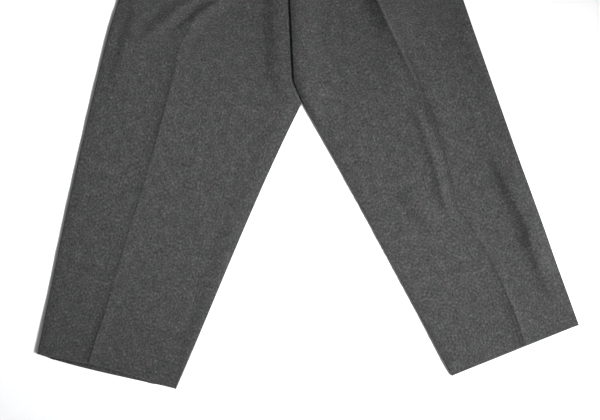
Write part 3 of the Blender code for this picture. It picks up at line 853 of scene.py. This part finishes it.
def slider_wing():
    """A rounded plate along Y. At t from -1 to 1 its half width runs from the narrow share to the full
    one, times (1 - t^6)^(1/3), and its section is a squared ellipse."""
    half_x, half_y = (slider_high[0] - slider_low[0]) / 2, (WING_Y[1] - WING_Y[0]) / 2
    t = np.sin(np.linspace(-np.pi / 2, np.pi / 2, WING_ROWS + 2)[1:-1])[:, None]
    b = (np.arange(WING_SIDES) * 2 * np.pi / WING_SIDES)[None, :]
    taper = WING_NARROW + (1 - WING_NARROW) * (t + 1) / 2
    round_end = (1 - t**6) ** (1 / 3)
    z = slider_low[2] + WING_THICK / 2 * (1 + signed_power(np.sin(b), 0.5) * round_end)
    x = SLIDER_X - half_x * taper * round_end * signed_power(np.cos(b), 0.5)
    y = np.broadcast_to((WING_Y[0] + WING_Y[1]) / 2 + half_y * t, x.shape)
    pole = np.array([[SLIDER_X, WING_Y[end], slider_low[2] + WING_THICK / 2] for end in (0, 1)])
    skin = np.stack([x, y, np.broadcast_to(z, x.shape)], axis=-1)
    points = np.concatenate([pole, skin.reshape(-1, 3)])
    return new_object("slider_wing", points, *closed_skin(WING_ROWS, WING_SIDES))


def pull_tab():
    """A flat ring: its outer outline and its slot are squared ellipses, and round the ring at angle v the
    metal is middle + half width s(cos v), height s(sin v)."""
    u = (np.arange(TAB_STEPS) * 2 * np.pi / TAB_STEPS)[:, None]
    v = (np.arange(TAB_SIDES) * 2 * np.pi / TAB_SIDES)[None, :]
    outer, slot = (
        np.stack([half[0] * signed_power(np.cos(u), power), half[1] * signed_power(np.sin(u), power)])
        for half, power in ((TAB_HALF, 0.45), (TAB_SLOT_HALF, 0.6))
    )
    plan = (outer + slot) / 2 + (outer - slot) / 2 * signed_power(np.cos(v), 0.4)
    height = TAB_Z + TAB_THICK / 2 * signed_power(np.sin(v), 0.6) + 0 * u
    points = np.stack([SLIDER_X + plan[0], TAB_AT_Y + plan[1], height], axis=-1).reshape(-1, 3)
    index = np.arange(TAB_STEPS * TAB_SIDES).reshape(TAB_STEPS, TAB_SIDES)
    ahead, around = np.roll(index, -1, axis=0), np.roll(index, -1, axis=1)
    faces = np.stack([index, ahead, np.roll(ahead, -1, axis=1), around], axis=-1).reshape(-1, 4)
    return new_object("slider_tab", points, faces)


bridge_centre = np.array([[SLIDER_X, WING_Y[0] + BRIDGE_AT, slider_high[2] - BRIDGE_HALF[2]]])
bridge = pegs(
    "slider_bridge", bridge_centre, along=(0, BRIDGE_HALF[1], 0), across=(0, 0, BRIDGE_HALF[2]),
    up=(BRIDGE_HALF[0], 0, 0), power=0.55, rings=13, sides=16,
)
for piece in (slider_wing(), bridge, pull_tab()):
    piece.data.materials.append(NICKEL)
    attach(piece, "root")
    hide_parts("zip_slider")

# Fly stitching: a J of polyester thread holds the zip's facing behind the right front, straight down from
# the waist and round to the centre seam, where a bartack takes the strain. The thread goes with the cloth.
THREAD_RADIUS = 0.24
THREAD_FLAT = 0.8
THREAD_LIFT = 0.1  # of a stitch's middle over the cloth
STITCH_LENGTH = 2.7
STITCH_GAP = 0.8
J_TOP_Y = 348.0
J_TURN_Y = 132.0
J_END = (-9.5, 99.0)
J_X = -40.0
BARTACK_LENGTH = 9.0
BARTACK_HALF_WIDTH = 1.0
BARTACK_PITCH = 0.45


def polyester_thread():
    """Spun polyester thread, dyed a shade darker than the cloth, matt, with a fibre of 0.3 mm."""
    material, tree, shader = new_material("spun_polyester_thread_grey")
    place = add_node(tree, "ShaderNodeTexCoord")
    fibre = noise(tree, place.outputs["Object"], 0.3)
    base_ramp(tree, shader, fibre, (0.0, "#262627"), (1.0, "#39393b"))
    shader.inputs["Roughness"].default_value = 0.8
    return material


THREAD = polyester_thread()


def stitches(name, start, end, radius=THREAD_RADIUS):
    """A rounded stitch from each start to each end, flattened a little where it is pulled down."""
    along = (end - start) / 2
    across = np.cross([0.0, 0.0, 1.0], along)
    across *= radius / np.linalg.norm(across, axis=1, keepdims=True)
    up = np.cross(along, across)
    up *= THREAD_FLAT * radius / np.linalg.norm(up, axis=1, keepdims=True)
    piece = pegs(name, (start + end) / 2, along, across, up, power=0.75, sides=6)
    piece.data.materials.append(THREAD)
    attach(piece, "root")


def on_front(side, plan):
    """Points on a front's outer face, at its height between the rows and columns of its grid."""
    to_pleat = len(NEAR_INNER) + INNER_COLUMNS - 1
    rows = fronts[side][:, :to_pleat][:, :: int(LEGS[side]["outward"])]
    heights = []
    for x, y in plan:
        row_y, row_height = ([np.interp(x, row[:, 0], row[:, axis]) for row in rows] for axis in (1, 2))
        heights.append(np.interp(y, row_y, row_height))
    return np.concatenate([plan, np.array(heights)[:, None] + WALL / 2 + THREAD_LIFT], axis=1)


turn = np.linspace(0.0, np.pi / 2, 60)
j_turn = np.stack(
    [J_END[0] + (J_X - J_END[0]) * np.cos(turn), J_TURN_Y + (J_END[1] - J_TURN_Y) * np.sin(turn)], axis=-1
)
j_line = np.concatenate([[[J_X, J_TOP_Y]], j_turn])
j_length = np.concatenate([[0.0], np.cumsum(np.hypot(*np.diff(j_line, axis=0).T))])
stitch_start = np.arange(0.0, j_length[-1] - STITCH_LENGTH, STITCH_LENGTH + STITCH_GAP)
j_ends = [
    on_front("right", np.stack([np.interp(at, j_length, j_line[:, k]) for k in (0, 1)], axis=-1))
    for at in (stitch_start, stitch_start + STITCH_LENGTH)
]
stitches("fly_stitching", *j_ends)
bar_at = np.arange(0.0, BARTACK_LENGTH, BARTACK_PITCH)
bar_ends = [
    on_front("right", np.stack([J_END[0] - bar_at, J_END[1] + reach + 0 * bar_at], axis=-1))
    for reach in (BARTACK_HALF_WIDTH, -BARTACK_HALF_WIDTH)
]
stitches("fly_bartack", *bar_ends)

# Waistband: a strip of the flannel folded double, round from the centre back to the centre front on each
# side. The panels are sewn into its lower edge. The right half's button end laps over the left one's.
BAND_WALL = 2.4
BAND_TOP_Y = 391.7
BAND_SIDE_TOP = {"right": -206.0, "left": 203.0}
BAND_LAYERS = (1.2, 4.0)
BAND_END = {"right": 20.0, "left": -36.0}
BAND_OVER = 6.75
BAND_CLIMB = (-75.0, -42.0)
BAND_COLUMNS = 150  # along each of the layer behind and the layer in front
BAND_ROWS = 15
BAND_TURN_STEPS = 8
BAND_BULGE = 0.9  # what the pleat's layers throw up in front
BULGE_FALL = 0.6  # share of the bulge lost at the upper edge
BULGE_FROM = {"right": (85.0, 100.0), "left": (26.0, 45.0)}  # distances from the centre
BULGE_TO = (150.0, 185.0)
BAND_CUT_OFFSET = 500.0  # keeps the bands' cloth apart from the panels' in the flannel's pattern


def waistband(side):
    """Half of the waistband: level behind, a half circle round the side, and level in front, where it
    bulges over the pleat. Its lower edge follows the panels' height more than its upper edge does."""
    outward = LEGS[side]["outward"]
    behind, before = BAND_LAYERS
    radius = (before - behind) / 2
    turn = np.linspace(-np.pi / 2, np.pi / 2, BAND_TURN_STEPS + 1)
    share = np.linspace(0.0, 1.0, BAND_ROWS)[:, None]
    y = WAIST_Y + SEAM_GAP + share * (BAND_TOP_Y - WAIST_Y - SEAM_GAP)
    side_x = LEGS[side]["stations"]["waist"].side_x * (1 - share) + BAND_SIDE_TOP[side] * share
    turn_x = side_x - outward * (radius + BAND_WALL / 2)
    run = np.linspace(0.0, 1.0, BAND_COLUMNS)[None, :]
    start_x = CENTRE_X + outward * SEAM_GAP / 2
    x_behind = start_x + (turn_x - start_x) * run[:, :-1]
    x_turn = turn_x + outward * radius * np.cos(turn)
    x_front = turn_x + (BAND_END[side] - turn_x) * run[:, 1:]
    x = np.concatenate([x_behind, x_turn, x_front], axis=1)
    climb = smooth_step(x_front, *BAND_CLIMB) * (side == "right")
    towards_side = x_front * outward
    bulge = BAND_BULGE * smooth_step(towards_side, *BULGE_FROM[side])
    bulge = bulge * (1 - smooth_step(towards_side, *BULGE_TO)) * (1 - BULGE_FALL * share)
    z = np.concatenate(
        [
            np.full_like(x_behind, behind),
            np.broadcast_to(behind + radius + radius * np.sin(turn), x_turn.shape),
            before + (BAND_OVER - before) * climb + bulge,
        ],
        axis=1,
    )
    y_grid = np.broadcast_to(y, x.shape)
    middle = np.stack([x, y_grid, z], axis=-1)
    length = np.concatenate([[0.0], np.cumsum(np.linalg.norm(np.diff(middle[0], axis=0), axis=-1))])
    band = cloth(
        f"waistband_{side}_cloth", middle, BAND_WALL,
        np.stack([y_grid + BAND_CUT_OFFSET, np.broadcast_to(length * outward, x.shape)], axis=-1),
    )
    band.data.materials.append(FLANNEL)
    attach(band, "root")
    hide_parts(f"waistband_{side}")


for side in LEGS:
    waistband(side)

# Buttonhole: purl stitches of the same thread along the line of a slit in the button end of the waistband;
# the slit is not cut, and the stitches' inner ends meet along it. The button's thread comes up at its outer
# end.
SLIT_X = (-11.0, 8.5)
PURL_OFF = 0.85  # from the slit to the middle of a stitch
PURL_HALF_LENGTH = 0.8
PURL_PITCH = 0.55
PURL_RADIUS = 0.3
PURL_LIFT = 0.05
button_low, button_high = (np.array(corner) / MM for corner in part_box("button"))
BUTTON_X, BUTTON_Y, _ = (button_low + button_high) / 2
band_top = BAND_OVER + BAND_WALL / 2

purl_x = np.arange(*SLIT_X, PURL_PITCH)
end_angle = np.linspace(-np.pi / 2, np.pi / 2, 9)[1:-1]
purl_lines = [
    (purl_x, 0 * purl_x, 0 * purl_x, 1 + 0 * purl_x),
    (purl_x, 0 * purl_x, 0 * purl_x, -1 + 0 * purl_x),
    (SLIT_X[0] + 0 * end_angle, 0 * end_angle, -np.cos(end_angle), np.sin(end_angle)),
    (SLIT_X[1] + 0 * end_angle, 0 * end_angle, np.cos(end_angle), np.sin(end_angle)),
]
foot_x, foot_y, out_x, out_y = (np.concatenate(column) for column in zip(*purl_lines))
purl_ends = [
    np.stack(
        [foot_x + out_x * off, BUTTON_Y + foot_y + out_y * off, 0 * foot_x + band_top + PURL_LIFT], axis=-1
    )
    for off in (PURL_OFF - PURL_HALF_LENGTH, PURL_OFF + PURL_HALF_LENGTH)
]
stitches("buttonhole_purl", *purl_ends, radius=PURL_RADIUS)

# Button: turned from imitation horn, with a raised rim, a dished middle and four holes. Two bars of thread
# sew it to the underlap through the buttonhole.
BUTTON_EDGE = 1.2
BUTTON_DISH = 0.8
BUTTON_RIM = 2.4  # width of the rim's fall into the dish
HOLE_OFF = 1.9
HOLE_RADIUS = 1.0
HOLE_DEPTH = 1.3
BUTTON_SIDES = 128
EDGE_STEPS = 10
TOP_STEPS = 64
STRAND_PITCH = 0.45
STRAND_RADIUS = 0.26
STRAND_LIFT = 0.12  # over the dish
STRAND_PAST_HOLE = 0.5


def imitation_horn():
    """Polyester cast to look like horn: nearly black, with long brown-grey streaks, polished. The streaks
    are 3 mm wide."""
    material, tree, shader = new_material("polished_imitation_horn")
    place = add_node(tree, "ShaderNodeTexCoord")
    stretch = add_node(
        tree, "ShaderNodeMapping", links={"Vector": place.outputs["Object"]}, Scale=(0.3, 1.0, 1.0),
        Rotation=(0.0, 0.0, 0.5),
    )
    streak = noise(tree, stretch.outputs["Vector"], 3.0, Detail=4.0, Distortion=0.6)
    base_ramp(tree, shader, streak, (0.35, "#211e1c"), (0.75, "#4d453f"))
    shader.inputs["Roughness"].default_value = 0.28
    shader.inputs["IOR"].default_value = 1.54
    return material


def sewn_button():
    """A turned form. Its profile runs level below, round the edge as a half ellipse and in over the top,
    which falls by the dish inside the rim. Each hole is a pit, depth e^-(d / radius)^8."""
    radius, thick = (button_high[0] - button_low[0]) / 2, button_high[2] - button_low[2]
    flat_radius = radius - BUTTON_EDGE
    edge = np.linspace(-np.pi / 2, np.pi / 2, EDGE_STEPS + 1)
    below = np.linspace(0.0, flat_radius, 6)[1:-1]
    above = np.linspace(flat_radius, 0.0, TOP_STEPS)[1:-1]
    r = np.concatenate([below, flat_radius + BUTTON_EDGE * np.cos(edge), above])
    rim = thick / 2 * (1 + np.sin(edge))
    dish = BUTTON_DISH * smooth_step(flat_radius - above, 0, BUTTON_RIM)
    z = np.concatenate([0 * below, rim, thick - dish])
    b = np.arange(BUTTON_SIDES) * 2 * np.pi / BUTTON_SIDES
    x, y = r[:, None] * np.cos(b), r[:, None] * np.sin(b)
    off_hole = np.hypot(np.abs(x) - HOLE_OFF, np.abs(y) - HOLE_OFF)
    on_top = (np.arange(len(r)) > len(below) + EDGE_STEPS)[:, None]
    z = z[:, None] - on_top * HOLE_DEPTH * np.exp(-((off_hole / HOLE_RADIUS) ** 8))
    ring_points = np.stack([BUTTON_X + x, BUTTON_Y + y, button_low[2] + z], axis=-1).reshape(-1, 3)
    poles = np.array(
        [[BUTTON_X, BUTTON_Y, button_low[2] + height] for height in (0.0, thick - BUTTON_DISH)]
    )
    points = np.concatenate([poles, ring_points])
    button = new_object("sewn_button", points, *closed_skin(len(r), BUTTON_SIDES))
    button.data.materials.append(imitation_horn())
    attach(button, "root")
    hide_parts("button")


sewn_button()
strand = np.array([[HOLE_OFF * row + STRAND_PITCH * k for k in (-1, 0, 1)] for row in (-1, 1)]).ravel()
strand_z = button_high[2] - BUTTON_DISH + STRAND_LIFT
strand_ends = [
    np.stack([BUTTON_X + reach + 0 * strand, BUTTON_Y + strand, strand_z + 0 * strand], axis=-1)
    for reach in (-HOLE_OFF - STRAND_PAST_HOLE, HOLE_OFF + STRAND_PAST_HOLE)
]
stitches("button_thread", *strand_ends, radius=STRAND_RADIUS)

# Floor and light: a pale paper sweep, one soft light from the right whose pool is brightest beside the left
# knee, an even light from the same side that reaches the whole floor, and a pale surround.
FLOOR_SIZE = 8.0
FLOOR_BELOW = 0.3
corners = np.array([(-1, -1, 0), (1, -1, 0), (1, 1, 0), (-1, 1, 0)]) * FLOOR_SIZE / 2 / MM
floor = new_object("floor", corners - [0.0, 0.0, FLOOR_BELOW], np.array([[0, 1, 2, 3]]))
paper, _, paper_shader = new_material("white_paper_sweep")
paper_shader.inputs["Base Color"].default_value = linear("#f4f4f5")
paper_shader.inputs["Roughness"].default_value = 0.9
paper_shader.inputs["Specular IOR Level"].default_value = 0.1
floor.data.materials.append(paper)

LIGHT_AT = Vector((3.27, -1.99, 2.37))
LIGHT_POOL = Vector((0.10, -0.08, 0.0))  # from the view's centre
LIGHT_SIZE = 0.8
LIGHT_WATTS = 7.2
LIGHT_SPREAD = 17.0  # degrees
EVEN_STRENGTH = 1.5  # watts per square metre, all over the floor
EVEN_ANGLE = 15.0  # degrees
SURROUND = 0.25
light = bpy.data.objects.new("soft_box", bpy.data.lights.new("soft_box", "AREA"))
bpy.context.scene.collection.objects.link(light)
light.data.shape = "SQUARE"
light.data.size = LIGHT_SIZE
light.data.energy = LIGHT_WATTS
light.data.spread = np.radians(LIGHT_SPREAD)
light.location = LIGHT_AT
light.rotation_euler = (view_centre + LIGHT_POOL - LIGHT_AT).to_track_quat("-Z", "Y").to_euler()
even = bpy.data.objects.new("even_light", bpy.data.lights.new("even_light", "SUN"))
even.data.energy = EVEN_STRENGTH
even.data.angle = np.radians(EVEN_ANGLE)
even.rotation_euler = light.rotation_euler
bpy.context.scene.collection.objects.link(even)
world = bpy.data.worlds.new("surround")
world.use_nodes = True
world.node_tree.nodes["Background"].inputs["Color"].default_value = linear("#f8f8f8")
world.node_tree.nodes["Background"].inputs["Strength"].default_value = SURROUND
bpy.context.scene.world = world
bpy.context.scene.view_settings.view_transform = "Standard"
